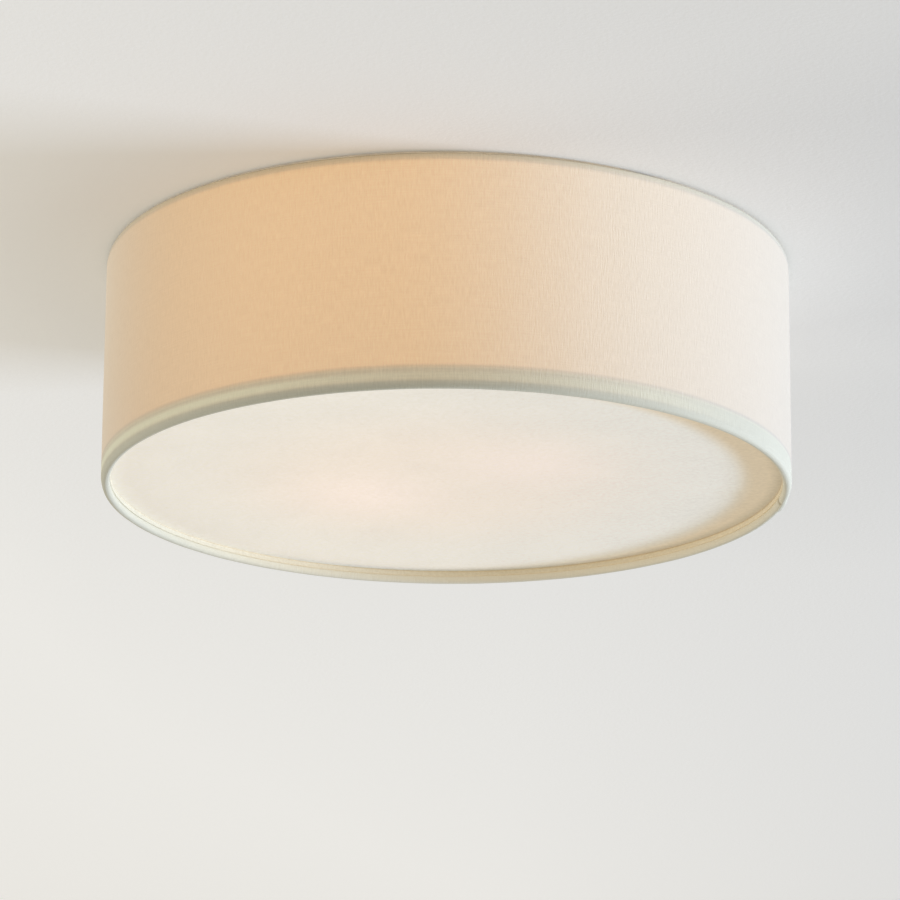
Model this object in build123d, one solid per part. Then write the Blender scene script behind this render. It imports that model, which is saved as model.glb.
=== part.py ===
from build123d import *
import os
from math import cos, pi, radians, sin, tan

# Flush mount ceiling light: a linen drum shade with a frosted diffuser, hung under a white pan.
#
# Sizes are in millimetres. The origin is the centre of the ceiling plane, +Z points up, and the light
# hangs below. The two bulbs lie along X, tips towards the centre, and the crossbar lies along Y.
# The shade turns about Z: its three keyhole feet ride on shouldered screws in the pan.

# ------------------------------------------------------------------ driving dimensions
shade_diameter = 400.0
shade_height = 136.0
ceiling_gap = 0.9  # between the ceiling and the shade's upper rim

linen = 0.6
lining = 0.8
rim_wire = 3.2  # diameter of the two wire rings
turn_in = 10.5  # how far the lower hem is turned in, from the wire's centre
top_turn_in = 5.5  # the same for the upper hem
hem_tilt = 20.0  # degrees that the linen leans in, where it meets the wire
hem_facet = 1.6  # height of that leaning strip, along its slope
hem_upright = 1.1  # height of the turned-in linen's plumb strip, above the wire's centre
hem_shoulder = 4.3  # height at which it lies back against the lining
glue = 0.05

diffuser_recess = 7.5  # from the lower rim up to the diffuser's lower face
diffuser_thickness = 2.5
diffuser_gap = 0.5
ledge_sheet = 0.8
ledge_inner = 194.9  # radius of the ledge's visible face, below the diffuser
ledge_drop = 3.3  # how far that face reaches down, behind the linen's roll
ledge_rise = 5.0  # how far the ledge's bonded wall reaches up

pan_depth = 22.0
pan_floor_radius = 150.0
pan_rim_radius = 158.0
pan_lip = 4.0
pan_sheet = 0.8

crossbar_width = 25.0
crossbar_length = 148.0
crossbar_sheet = 1.6
crossbar_step = 4.0  # how far its two ends stand off the ceiling
box_screw_spacing = 88.9
box_slot = 13.0
box_slot_width = 5.0
stud_offset = 64.0  # of each pan stud from the centre, along Y
stud_radius = 2.1

hanger_radius = 122.0  # of the circle of shade hanger screws
hanger_angles = (90.0, 210.0, 330.0)
twist = 12.0  # degrees from locked to unlocked
shoulder_radius = 3.0
shoulder_length = 3.2
hanger_head_radius = 5.5
hanger_head = 2.8
arm_sheet = 1.5
arm_width = 14.0
foot_width = 24.0

bulb_length = 108.0
bulb_radius = 30.0
bulb_tip_x = 27.6  # of each globe's end from the centre
lamp_z = -72.0  # the two bulbs' common axis
holder_radius = 19.0
holder_rear = 11.4  # the holder's back, behind the bulb's contact tip
holder_mouth = 26.0  # the holder's mouth, ahead of the tip
bracket_sheet = 1.5
bracket_width = 30.0

base_start = 5.0  # stations along the bulb, from its tip
base_end = 26.0
neck_end = 64.0
globe_wall = 1.2
shell_bore = 13.35  # inner radius of the lampholder's screw shell
shell_sheet = 0.6

ground_y = 18.0
ring_sheet = 0.8
block_x = 32.0  # terminal block: place, size and spacing of its poles
block_length = 26.0
block_width = 18.0
block_height = 13.0
block_pitch = 8.0
lead_z = -13.0  # of the wires where they enter the block
well_y = 4.8  # of each clamp screw from the block's middle
bushing_x = 112.0
bushing_hole = 6.0
bushing_bore = 4.4
rivet_x = 130.0  # of the screws that hold a bracket to the pan
rivet_y = 9.0
lead_hole_x = 141.5  # of the wire holes in a lampholder
lead_hole_y = 6.0
holder_screw_y = 10.5
arm_bend_out = 181.0
arm_bend_in = 166.0

ground_thread = 1.95  # radii of the screws' threads
hanger_thread = 2.0
bracket_thread = 1.6
holder_thread = 1.45
block_thread = 1.25
clamp_thread = 1.2
play = 0.1  # more than a thread's radius, in a hole that only just clears it

lead_diameter = 2.4
ground_lead_radius = 1.1
lead_start_z = -58.0
block_entry_y = -8.0
wire_offset = 1.4  # of each of two wires in one pole from its middle
lead_share = 0.3  # of its shorter run that an arc may take at each end
pad_thickness = 6.0
pad_radius = 100.0

# ------------------------------------------------------------------ worked out from them
shade_radius = shade_diameter / 2
top_z = -ceiling_gap
rim_z = top_z - shade_height
skin_inner = shade_radius - linen
wire_radius = rim_wire / 2
wrap_inner = wire_radius + glue  # the linen's two faces, measured from the wire's centre
wrap_outer = wrap_inner + linen
lean_in, lean_down = sin(radians(hem_tilt)), cos(radians(hem_tilt))
ring_radius = shade_radius - wrap_outer * lean_down - hem_facet * lean_in
lower_ring_z = rim_z + wrap_outer
upper_ring_z = top_z - wrap_outer
lining_outer = skin_inner - glue
lining_inner = lining_outer - lining
hem_outer = lining_inner - glue
hem_inner = hem_outer - linen

diffuser_z = rim_z + diffuser_recess
ledge_outer = hem_inner - glue

pan_under = -pan_depth
pan_top = pan_under + pan_sheet
contact_x = bulb_tip_x + bulb_length
holder_back_x = contact_x + holder_rear
bracket_x = holder_back_x + bracket_sheet
stud_z = -crossbar_step - crossbar_sheet  # underside of the crossbar's ends
foot_top = pan_under - shoulder_length + glue + arm_sheet
ground_barrel_z = -crossbar_sheet - ring_sheet - 1.5
poles = (-block_pitch, 0.0, block_pitch)
line_x = block_x - block_pitch
neutral_x = block_x + block_pitch
globe_centre = bulb_length - bulb_radius
neck_radius = (bulb_radius**2 - (globe_centre - neck_end) ** 2) ** 0.5
arm_angles = [angle + twist / 2 for angle in hanger_angles]
arm_end = ring_radius - wire_radius - glue


# ------------------------------------------------------------------ small helpers
def turned(*edges):
    """Solid of revolution about Z, from a closed outline drawn as (radius, height)."""
    return revolve(Plane.XZ * make_face(edges), Axis.Z)


def turned_along_x(*edges):
    """Solid of revolution about X, from a closed outline drawn as (distance, radius)."""
    return revolve(make_face(edges), Axis.X)


def outline(*corners):
    """Closed outline with rounded corners; each corner is (x, y) or (x, y, rounding)."""
    points = [corner[:2] for corner in corners]
    radii = [corner[2] if len(corner) > 2 else 0 for corner in corners]
    return FilletPolyline(*points, radius=radii, close=True)


def upright(radius, low, high, x=0.0, y=0.0):
    """Cylinder along Z between two heights."""
    return Pos(x, y, (low + high) / 2) * Cylinder(radius, high - low)


def along_x(radius, start, end, y=0.0, z=0.0):
    """Cylinder along X between two stations."""
    return Pos((start + end) / 2, y, z) * Rot(0, 90, 0) * Cylinder(radius, end - start)


def hex_nut(across_flats, bore, low, high):
    """Hexagon nut round the Z axis."""
    blank = extrude(RegularPolygon(across_flats / 2, 6, major_radius=False), high - low)
    blank = Pos(0, 0, low) * (chamfer(blank.edges().group_by(Axis.Z)[-1], 0.4))
    return blank - upright(bore, low - 1, high + 1)


def pan_head(radius, thickness):
    """Slotted pan head whose seat lies on z = 0 and whose crown points up."""
    head = turned(outline((0, 0), (radius, 0), (radius, thickness, radius * 0.35), (0, thickness)))
    return head - Pos(0, 0, thickness) * Box(3 * radius, radius * 0.28, thickness)


def on_circle(shape, radius, angle):
    """A shape made round the Z axis, moved to a place on a circle about the light's axis."""
    return Rot(0, 0, angle) * Pos(radius, 0, 0) * shape


def opposite(shape):
    """The same piece on the other side of the light, at -X."""
    return Rot(0, 0, 180) * shape


def group(*shapes):
    """Separate solids kept in one node."""
    return Compound(children=[solid for shape in shapes for solid in shape.solids()])


# ------------------------------------------------------------------ ceiling side
def crossbar():
    half, edge = crossbar_length / 2, crossbar_width / 2
    bend = box_screw_spacing / 2 + box_slot / 2 + 1
    step = crossbar_step
    side = outline(
        (-half, -step), (-bend - step, -step, 3), (-bend, 0, 3), (bend, 0, 3), (bend + step, -step, 3),
        (half, -step), (half, -step - crossbar_sheet), (bend + step, -step - crossbar_sheet, 3),
        (bend, -crossbar_sheet, 3), (-bend, -crossbar_sheet, 3),
        (-bend - step, -step - crossbar_sheet, 3), (-half, -step - crossbar_sheet),
    )
    bar = extrude(Plane.YZ * make_face(side), edge, both=True)
    plan = extrude(RectangleRounded(crossbar_width, crossbar_length, 6), 20, both=True)
    slot = extrude(Rot(0, 0, 90) * SlotOverall(box_slot, box_slot_width), 5, both=True)
    bar = (bar & plan) - upright(5, -5, 5)
    for side_of_box in (-1, 1):
        bar -= Pos(0, side_of_box * box_screw_spacing / 2, 0) * slot
        bar -= upright(stud_radius + glue, -20, 5, 0, side_of_box * stud_offset)
    return bar - upright(ground_thread + glue, -5, 5, 0, ground_y)


def crossbar_stud():
    shank = upright(stud_radius, pan_under - 9, -crossbar_step)
    head = upright(4.2, -crossbar_step, -crossbar_step + 2.4)
    return shank + chamfer(head.edges().group_by(Axis.Z)[-1], 0.5)


def cap_nut():
    """Knurled cap nut: a ribbed barrel, a seat against the pan and a domed end, blind from below."""
    seat = pan_under
    body = turned(
        outline((0, seat), (8.5, seat, 0.3), (8.5, seat - 1.5, 0.3), (7, seat - 1.5),
                (7, seat - 8, 0.5), (5.2, seat - 8), (5.2, seat - 12, 3.5), (0, seat - 12))
    )
    flutes = [Rot(0, 0, 360 / 16 * turn) * upright(0.8, seat - 9, seat - 1.5, 7.4) for turn in range(16)]
    return body - flutes - upright(stud_radius + glue, seat - 10, seat + 1)


def ground_screw():
    seat = -crossbar_sheet - ring_sheet
    head = Pos(0, ground_y, seat) * Rot(180, 0, 0) * pan_head(4.0, 2.4)
    return upright(ground_thread, seat, -glue, 0, ground_y) + head


def ground_ring():
    """Crimped ring terminal between the ground screw's head and the crossbar."""
    low = -crossbar_sheet - ring_sheet
    eye = upright(4.2, low, -crossbar_sheet, 0, ground_y)
    tongue = Pos(5.6, ground_y, low + ring_sheet / 2) * Box(5, 3, ring_sheet)
    barrel = along_x(1.8, 7, 12.5, ground_y, ground_barrel_z)
    barrel -= along_x(ground_lead_radius + glue, 8.5, 14, ground_y, ground_barrel_z)
    plane = Pos(10, ground_y, low - 5) * Box(10, 10, 10)
    return (eye + tongue - upright(ground_thread + 0.15, -5, 1, 0, ground_y)) + (barrel & plane)


def ceiling_pan():
    """Spun dish: flat lip on the ceiling, flared wall and a flat floor full of fixing holes."""
    wall = pan_sheet
    dish = turned(
        outline((0, pan_under), (pan_floor_radius, pan_under, 4), (pan_rim_radius, -wall, 1.6),
                (pan_rim_radius + pan_lip, -wall), (pan_rim_radius + pan_lip, 0),
                (pan_rim_radius - 0.5, 0, 2), (pan_floor_radius - 0.6, pan_top, 3.2), (0, pan_top))
    )
    holes = [upright(stud_radius + 0.4, -30, -10, 0, y) for y in (-stud_offset, stud_offset)]
    holes += [upright(bushing_hole, -30, -10, x, 0) for x in (-bushing_x, bushing_x)]
    holes += [on_circle(upright(hanger_thread + 0.2, -30, -10), hanger_radius, angle) for angle in hanger_angles]
    rivet = bracket_thread + play
    holes += [upright(rivet, -30, -10, x, y) for x in (-rivet_x, rivet_x) for y in (-rivet_y, rivet_y)]
    holes += [upright(block_thread + glue, -30, -10, block_x + x, 0) for x in (-block_pitch / 2, block_pitch / 2)]
    return dish - holes


def insulation_pad():
    """Glass fibre disc on the pan's floor, cut out round the studs, the box screws and the terminal block."""
    pad = upright(pad_radius, pan_top, pan_top + pad_thickness)
    between = stud_offset - box_screw_spacing / 2
    slot = Rot(0, 0, 90) * SlotCenterToCenter(between, 14)
    for side in (-1, 1):
        pad -= Pos(0, side * (stud_offset - between / 2), 0) * extrude(slot, 30, both=True)
    return pad - Pos(block_x, 0, pan_top) * Box(block_length + 3, block_width + 3, 30)


def terminal_block():
    """Three pole block: a base, three rounded towers, wire entries right through and screw wells."""
    base = Pos(block_x, 0, pan_top + 2) * Box(block_length, block_width, 4)
    block = fillet(base.edges().filter_by(Axis.Z), 1.5)
    tower = extrude(RectangleRounded(7.2, block_width - 1.0, 1.6), block_height - 4)
    for pole in poles:
        block += Pos(block_x + pole, 0, pan_top + 4) * tower
    for pole in poles:
        entry = Pos(block_x + pole, 0, lead_z) * Box(5.6, block_width + 2, 3.2)
        block -= entry
        for y in (-well_y, well_y):
            block -= upright(1.9, lead_z, 0, block_x + pole, y)
    for x in (-block_pitch / 2, block_pitch / 2):
        block -= upright(block_thread + play, -30, -5, block_x + x, 0)
    return block


def terminal_screws():
    screw = Pos(0, 0, -1.6) * pan_head(1.75, 1.6) + upright(clamp_thread, -4.0, -1.6)
    top = pan_top + block_height - 0.6
    return group(*[Pos(block_x + pole, y, top) * screw for pole in poles for y in (-well_y, well_y)])


def block_screws():
    head_seat = pan_top + 4.0
    screw = upright(block_thread, pan_under - 2, head_seat) + Pos(0, 0, head_seat) * upright(1.3, 0, 1.6)
    return group(*[Pos(block_x + x, 0, 0) * screw for x in (-block_pitch / 2, block_pitch / 2)])


def lead_bushings():
    """Snap-in bushings that line the two wire holes in the pan."""
    bore = bushing_bore
    low, high = pan_under - 1.6, pan_top + 1.6
    body = turned(
        outline((bore, low, 0.6), (8, low, 0.6), (8, pan_under), (bushing_hole, pan_under),
                (bushing_hole, pan_top), (7.2, pan_top), (7.2, high, 0.6), (bore, high, 0.6))
    )
    return group(Pos(bushing_x, 0, 0) * body, Pos(-bushing_x, 0, 0) * body)


def hanger_screw():
    """Shouldered screw: thread up through the pan, shoulder for the foot's slot, round head below."""
    low = pan_under - shoulder_length
    thread = upright(hanger_thread, pan_under, pan_top + 4.5)
    shoulder = upright(shoulder_radius, low, pan_under)
    head = Pos(0, 0, low) * Rot(180, 0, 0) * pan_head(hanger_head_radius, hanger_head)
    return thread + shoulder + head


def hanger_screws():
    return group(*[on_circle(hanger_screw(), hanger_radius, angle) for angle in hanger_angles])


def hanger_nuts():
    nut = hex_nut(8, hanger_thread + glue, pan_top, pan_top + 3.0)
    return group(*[on_circle(nut, hanger_radius, angle) for angle in hanger_angles])


# ------------------------------------------------------------------ lamp positions, made at +X
# Along the lamp's own axis, distances run from the bulb's contact tip towards its globe.
lamp_frame = Pos(contact_x, 0, lamp_z) * Rot(0, 0, 180)


def socket_bracket():
    """Bent steel bracket: a flange under the pan and a round-ended leg behind the lampholder."""
    inner, outer = holder_back_x, bracket_x
    profile = outline(
        (rivet_x - 6, pan_under), (outer, pan_under, 3), (outer, lamp_z - 30), (inner, lamp_z - 30),
        (inner, pan_under - bracket_sheet, 1.5), (rivet_x - 6, pan_under - bracket_sheet),
    )
    strip = extrude(Plane.XZ * make_face(profile), bracket_width / 2, both=True)
    leg = Plane.YZ * (
        Pos(0, lamp_z / 2) * Rectangle(bracket_width, -lamp_z)
        + Pos(0, lamp_z) * Circle(bracket_width / 2)
    )
    strip &= extrude(leg, 200)
    for y in (-1, 1):
        strip -= along_x(holder_thread + 0.25, inner - 2, outer + 2, y * holder_screw_y, lamp_z)
        strip -= upright(bracket_thread + play, -30, -10, rivet_x, y * rivet_y)
    return strip - along_x(5, inner - 2, outer + 2, 0, lamp_z + 30)


def lampholder():
    """Porcelain holder: beaded mouth, straight barrel, chamfered back, two screw and two wire holes."""
    back, mouth, bore = -holder_rear, holder_mouth, 14.0
    body = lamp_frame * turned_along_x(
        outline((back, 0), (back, holder_radius, 1.5), (mouth - 6, holder_radius, 1),
                (mouth - 5, holder_radius + 1.4, 1), (mouth, holder_radius + 1.4, 1.4), (mouth, bore, 0.8),
                (-2.4, bore), (-2.4, 0))
    )
    for y in (-1, 1):
        body -= along_x(holder_thread + play, holder_back_x - 8, holder_back_x + 1, y * holder_screw_y, lamp_z)
        body -= upright(lead_diameter / 2 + play, lead_start_z, lamp_z + 30, lead_hole_x, y * lead_hole_y)
    return body


def socket_shell():
    """Brass screw shell, open at the mouth and at the centre of its base."""
    bore, outside = shell_bore, shell_bore + shell_sheet
    return lamp_frame * turned_along_x(
        outline((0.6, 9), (0.6, outside, 0.8), (24, outside), (24, bore), (1.2, bore, 0.3), (1.2, 9))
    )


def socket_contact():
    """Brass tongue that the bulb's tip presses on."""
    disc = along_x(4.5, contact_x + 0.1, contact_x + 1.0, 0, lamp_z)
    stem = along_x(2.0, contact_x + 1.0, contact_x + 2.4, 0, lamp_z)
    return disc + stem


def bracket_screws():
    """Screws up through each bracket's flange into the pan, heads below."""
    head_seat = pan_under - bracket_sheet
    head = Pos(0, 0, head_seat) * Rot(180, 0, 0) * pan_head(3, 2)
    screw = upright(bracket_thread, head_seat, pan_top + 2.4) + head
    return group(*[Pos(x, y, 0) * screw for x in (-rivet_x, rivet_x) for y in (-rivet_y, rivet_y)])


def holder_screws():
    """Screws through each bracket's leg into the back of the lampholder."""
    shank = along_x(holder_thread, holder_back_x - 7, bracket_x, 0, lamp_z)
    head = Pos(bracket_x, 0, lamp_z) * Rot(0, 90, 0) * pan_head(2.9, 2)
    pair = [Pos(0, y * holder_screw_y, 0) * (shank + head) for y in (-1, 1)]
    return group(*pair, *[opposite(screw) for screw in pair])


def bulb_tip():
    """Glass insulator with the solder contact at its point."""
    return lamp_frame * turned_along_x(
        outline((0, 0), (0, 3.6), (1.2, 4.8, 0.5), (1.6, 5.6), (base_start, 11.0), (base_start, 0))
    )


def bulb_base():
    """Metal screw shell, flared at its upper edge."""
    return lamp_frame * turned_along_x(
        outline((base_start, 0), (base_start, 11.2), (base_start + 1.6, 12.9, 0.6),
                (base_end - 2.4, 12.9, 0.6), (base_end - 1.4, 13.1), (base_end, 13.1), (base_end, 0))
    )


def bulb_neck():
    """White housing that widens from the base to the globe."""
    low, high = (base_end, 12.6), (neck_end, neck_radius)
    return lamp_frame * turned_along_x(
        ThreePointArc(low, (45, 18.6), high),
        Polyline(high, (neck_end, 0), (base_end, 0), low),
    )


def bulb_globe():
    """Opal globe, a thin part-sphere closed against the housing."""
    def meridian(radius):
        angle = radians(45)
        start = (neck_end, (radius**2 - (globe_centre - neck_end) ** 2) ** 0.5)
        middle = (globe_centre + radius * cos(angle), radius * sin(angle))
        return ThreePointArc(start, middle, (globe_centre + radius, 0))

    outer, inner = meridian(bulb_radius), meridian(bulb_radius - globe_wall)
    return lamp_frame * turned_along_x(
        outer, inner, Line(outer @ 0, inner @ 0), Line(outer @ 1, inner @ 1)
    )


# ------------------------------------------------------------------ leads
def lead(name, points, radius=lead_diameter / 2):
    """Round tube along straight runs joined by tangent arcs; prints its radii and checks its volume."""
    places = [Vector(*point) for point in points]
    runs = [end - start for start, end in zip(places, places[1:])]
    radii = []
    for before, after in zip(runs, runs[1:]):
        half_turn = radians(before.get_angle(after) / 2)
        radii.append(lead_share * min(before.length, after.length) / tan(half_turn))
    path = FilletPolyline(*points, radius=radii)
    tube = sweep(Plane(path @ 0, z_dir=path % 0) * Circle(radius), path)
    ratio = tube.volume / (pi * radius**2 * path.length)
    print(f"{name}: {path.length:.1f} mm long, volume {ratio:.4f} of section by length, radii",
          [round(value, 1) for value in radii])
    return tube


def lamp_end(side, y):
    """A lead's first stretch: out of the holder, over its top and up through the bushing."""
    return [
        (side * lead_hole_x, side * y, lead_start_z),
        (side * lead_hole_x, side * y, -43.0),
        (side * bushing_x, side * y / 3, -36.0),
        (side * bushing_x, side * y / 3, -12.4),
    ]


def pole_end(x, y, z=lead_z):
    """A lead's last stretch: straight into its pole of the terminal block."""
    return [(x, y, z), (x, block_entry_y, lead_z)]


def right_line_lead():
    route = lamp_end(1, -lead_hole_y) + [(88, -17, -12.0), (58, -28, -12.6)]
    return lead("right line lead", route + pole_end(line_x + wire_offset, -27))


def right_neutral_lead():
    route = lamp_end(1, lead_hole_y) + [(90, -9, -12.0), (64, -20, -12.6)]
    return lead("right neutral lead", route + pole_end(neutral_x + wire_offset, -20.5))


def left_line_lead():
    route = lamp_end(-1, -lead_hole_y) + [(-84, -6, -12.0), (-50, -16, -12.4), (-18, -22, -12.2), (6, -25.5, -12.6)]
    return lead("left line lead", route + pole_end(line_x - wire_offset, -25))


def left_neutral_lead():
    route = lamp_end(-1, lead_hole_y) + [(-86, -16, -12.0), (-52, -27, -12.4), (-18, -32, -12.0), (12, -34, -11.2)]
    return lead("left neutral lead", route + pole_end(neutral_x - wire_offset, -33, -8.6))


def ground_lead():
    start = ground_barrel_z
    route = [(9, ground_y, start), (19, ground_y, start), (19.5, 0, -5.6), (21, -17, -6.8), (32, -21, -10.0)]
    return lead("ground lead", route + [(block_x, block_entry_y, lead_z)], ground_lead_radius)


# ------------------------------------------------------------------ shade
def crease(wall_face, wrap):
    """Height above the wire's centre at which a face of the wall starts to lean in towards the wire."""
    run = (wall_face - ring_radius - wrap * lean_down) / lean_in
    return run * lean_down - wrap * lean_in


def hem(z, up, depth):
    """Section of one hem: leaning in, round under the wire, in past it and back against the lining."""
    inside = ring_radius - wrap_outer
    outer_touch = (ring_radius + wrap_outer * lean_down, z - up * wrap_outer * lean_in)
    inner_touch = (ring_radius + wrap_inner * lean_down, z - up * wrap_inner * lean_in)
    return [
        Line((shade_radius, z + up * crease(shade_radius, wrap_outer)), outer_touch),
        ThreePointArc(outer_touch, (ring_radius, z - up * wrap_outer), (inside, z)),
        Polyline(
            (inside, z), (inside, z + up * hem_upright), (hem_inner, z + up * hem_shoulder),
            (hem_inner, z + up * depth), (hem_outer, z + up * depth), (hem_outer, z + up * (hem_shoulder - 0.2)),
            (inside + linen, z + up * (hem_upright - 0.2)), (inside + linen, z),
        ),
        ThreePointArc((inside + linen, z), (ring_radius, z - up * wrap_inner), inner_touch),
        Line(inner_touch, (skin_inner, z + up * crease(skin_inner, wrap_inner))),
    ]


def shade_fabric():
    """Linen skin: straight outer wall, with both edges turned in over the wire rings."""
    outer_crease, inner_crease = crease(shade_radius, wrap_outer), crease(skin_inner, wrap_inner)
    low, high = lower_ring_z, upper_ring_z
    skin = turned(
        *hem(low, 1, turn_in),
        *hem(high, -1, top_turn_in),
        Line((shade_radius, low + outer_crease), (shade_radius, high - outer_crease)),
        Line((skin_inner, low + inner_crease), (skin_inner, high - inner_crease)),
    )
    clear = arm_width + 0.6
    for angle in arm_angles:
        slit = Pos(ring_radius - 4, 0, upper_ring_z - 1) * Box(6.4, clear, arm_sheet + 2.6)
        skin -= Rot(0, 0, angle) * slit
    return skin


def shade_liner():
    """Stiff translucent lining that keeps the drum round."""
    low, high = lower_ring_z + wire_radius, upper_ring_z - wire_radius
    return turned(outline((lining_inner, low), (lining_outer, low), (lining_outer, high), (lining_inner, high)))


def wire_ring(z):
    return Pos(0, 0, z) * Torus(ring_radius, wire_radius)


def shade_arm():
    """Strap from the upper ring, down past the pan, to a wide foot with a keyhole slot; made at angle 0."""
    high = upper_ring_z + arm_sheet / 2
    profile = outline(
        (arm_end, high), (arm_bend_out, high, 4), (arm_bend_in, foot_top, 4), (hanger_radius, foot_top),
        (hanger_radius, foot_top - arm_sheet), (arm_bend_in + 0.5, foot_top - arm_sheet, 4),
        (arm_bend_out + 0.5, high - arm_sheet, 4), (arm_end, high - arm_sheet),
    )
    strap = extrude(Plane.XZ * make_face(profile), arm_width / 2, both=True)
    pad = SlotArc(CenterArc((0, 0), hanger_radius, -7, 14), foot_width)
    foot = Pos(0, 0, foot_top - arm_sheet) * extrude(pad, arm_sheet)
    slot = SlotArc(CenterArc((0, 0), hanger_radius, -twist / 2, twist), 2 * shoulder_radius + 0.8)
    cut = Pos(0, 0, foot_top - 5) * extrude(slot, 10)
    entry = Rot(0, 0, twist / 2) * upright(hanger_head_radius + 0.6, foot_top - 5, foot_top + 5, hanger_radius)
    return (strap + foot) - cut - entry


def diffuser_ledge():
    """Rolled hoop of Z section: a wall against the hem, a flat ledge for the diffuser and a short skirt."""
    wall_inner = ledge_outer - ledge_sheet
    skirt_outer = ledge_inner + ledge_sheet
    low, high = diffuser_z - ledge_drop, diffuser_z + ledge_rise
    return turned(
        outline((ledge_inner, low), (skirt_outer, low), (skirt_outer, diffuser_z - ledge_sheet, 0.3),
                (ledge_outer, diffuser_z - ledge_sheet, 0.6), (ledge_outer, high), (wall_inner, high),
                (wall_inner, diffuser_z, 0.3), (ledge_inner, diffuser_z, 1.0))
    )


def diffuser_panel():
    radius = ledge_outer - ledge_sheet - diffuser_gap
    disc = upright(radius, diffuser_z, diffuser_z + diffuser_thickness)
    return fillet(disc.edges().group_by(Axis.Z)[0], 0.4)


# ------------------------------------------------------------------ the whole light
def pieces():
    """Every piece of the light, by the name of its node."""
    stud = [Pos(0, y, 0) * crossbar_stud() for y in (-stud_offset, stud_offset)]
    cap = [Pos(0, y, 0) * cap_nut() for y in (-stud_offset, stud_offset)]
    lock = hex_nut(8.7, stud_radius + glue, stud_z - 3.0, stud_z)
    light = {
        "crossbar": crossbar(),
        "crossbar_studs": group(*stud),
        "stud_nuts": group(*[Pos(0, y, 0) * lock for y in (-stud_offset, stud_offset)]),
        "ground_screw": ground_screw(),
        "ground_ring": ground_ring(),
        "ceiling_pan": ceiling_pan(),
        "insulation_pad": insulation_pad(),
        "cap_nuts": group(*cap),
        "terminal_block": terminal_block(),
        "terminal_screws": terminal_screws(),
        "block_screws": block_screws(),
        "lead_bushings": lead_bushings(),
        "hanger_screws": hanger_screws(),
        "hanger_nuts": hanger_nuts(),
        "bracket_screws": bracket_screws(),
        "holder_screws": holder_screws(),
        "right_line_lead": right_line_lead(),
        "right_neutral_lead": right_neutral_lead(),
        "left_line_lead": left_line_lead(),
        "left_neutral_lead": left_neutral_lead(),
        "ground_lead": ground_lead(),
        "shade_fabric": shade_fabric(),
        "shade_liner": shade_liner(),
        "upper_wire_ring": wire_ring(upper_ring_z),
        "lower_wire_ring": wire_ring(lower_ring_z),
        "shade_arms": group(*[Rot(0, 0, angle) * shade_arm() for angle in arm_angles]),
        "diffuser_ledge": diffuser_ledge(),
        "diffuser_panel": diffuser_panel(),
    }
    lamp = {
        "socket_bracket": socket_bracket(),
        "lampholder": lampholder(),
        "socket_shell": socket_shell(),
        "socket_contact": socket_contact(),
        "bulb_tip": bulb_tip(),
        "bulb_base": bulb_base(),
        "bulb_neck": bulb_neck(),
        "bulb_globe": bulb_globe(),
    }
    for name, shape in lamp.items():
        light["right_" + name] = shape
        light["left_" + name] = opposite(shape)
    return light


os.makedirs("parts", exist_ok=True)
for node, shape in pieces().items():
    export_step(shape, f"parts/{node}.step")
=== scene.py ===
from math import cos, pi, radians, sin, tau

import bmesh
import bpy
import numpy as np
from bpy.props import FloatProperty, FloatVectorProperty, PointerProperty
from mathutils import Matrix, Vector


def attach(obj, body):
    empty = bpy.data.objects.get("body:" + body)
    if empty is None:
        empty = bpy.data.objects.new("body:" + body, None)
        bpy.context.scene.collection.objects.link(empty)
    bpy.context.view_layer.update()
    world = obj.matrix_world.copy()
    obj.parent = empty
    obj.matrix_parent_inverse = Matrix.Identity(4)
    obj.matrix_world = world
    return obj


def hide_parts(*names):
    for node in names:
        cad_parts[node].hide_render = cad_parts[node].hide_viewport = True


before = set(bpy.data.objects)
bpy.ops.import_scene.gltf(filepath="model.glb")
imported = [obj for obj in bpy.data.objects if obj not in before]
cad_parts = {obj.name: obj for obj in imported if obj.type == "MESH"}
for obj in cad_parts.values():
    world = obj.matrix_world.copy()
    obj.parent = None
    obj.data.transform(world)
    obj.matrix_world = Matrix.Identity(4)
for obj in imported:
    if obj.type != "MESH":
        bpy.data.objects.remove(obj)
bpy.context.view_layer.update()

bl_info = {
    "name": "Flush Mount Ceiling Light",
    "version": (1, 0, 0),
    "blender": (4, 5, 0),
    "location": "3D View > Sidebar > Ceiling Light",
    "description": "Dresses the linen drum ceiling light and its studio",
    "category": "Object",
}

MM = 0.001

# ------------------------------------------------------------------ sizes of the frame, in millimetres
SHADE_RADIUS = 200.0
LINEN = 0.6
RIM_WIRE = 1.6  # radius of the wires in the two rims
RING_RADIUS = 197.339
ROLL = RIM_WIRE + 0.05 + LINEN / 2  # from a wire's centre to the middle of the linen round it
TOP_Z = -0.9
RIM_Z = -136.9
LOWER_RING_Z = RIM_Z + ROLL + LINEN / 2
UPPER_RING_Z = TOP_Z - ROLL - LINEN / 2
LAMP_Z = -72.0
CONTACT_X = 135.6  # of each bulb's contact tip from the centre
GLOBE_X = 57.6  # of each globe's middle from the centre
ARM_ANGLES = (96.0, 216.0, 336.0)

# ------------------------------------------------------------------ drawn light, as linear colours
# These are fitted to one room's light, and don't change with the lamps or the room. Apart from the globes'
# own light, they are painted light on parts that are no lamps.
STRIP_LIGHT = (0.09, 0.12, 0.085)  # the room's, through the linen where the lining has ended
LEDGE_GLOW = (0.125, 0.075, 0.03)  # the lamps', on the ledge's far side
LINING_EDGE_GLOW = (0.05, 0.03, 0.012)  # the lamps', on the lining near both rims
GLOBE_LIGHT = (2.6, 2.05, 1.25)
GLOBE_LIGHT_BY_HOUSING = (1.5, 1.1, 0.6)
# The rim's shade on the diffuser is a painted shadow in its base colour.
RIM_SHADE_SHIFT = (0.0235, 0.005, 0.0)  # how far the rim's shade lies off the diffuser's middle, in metres


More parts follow.
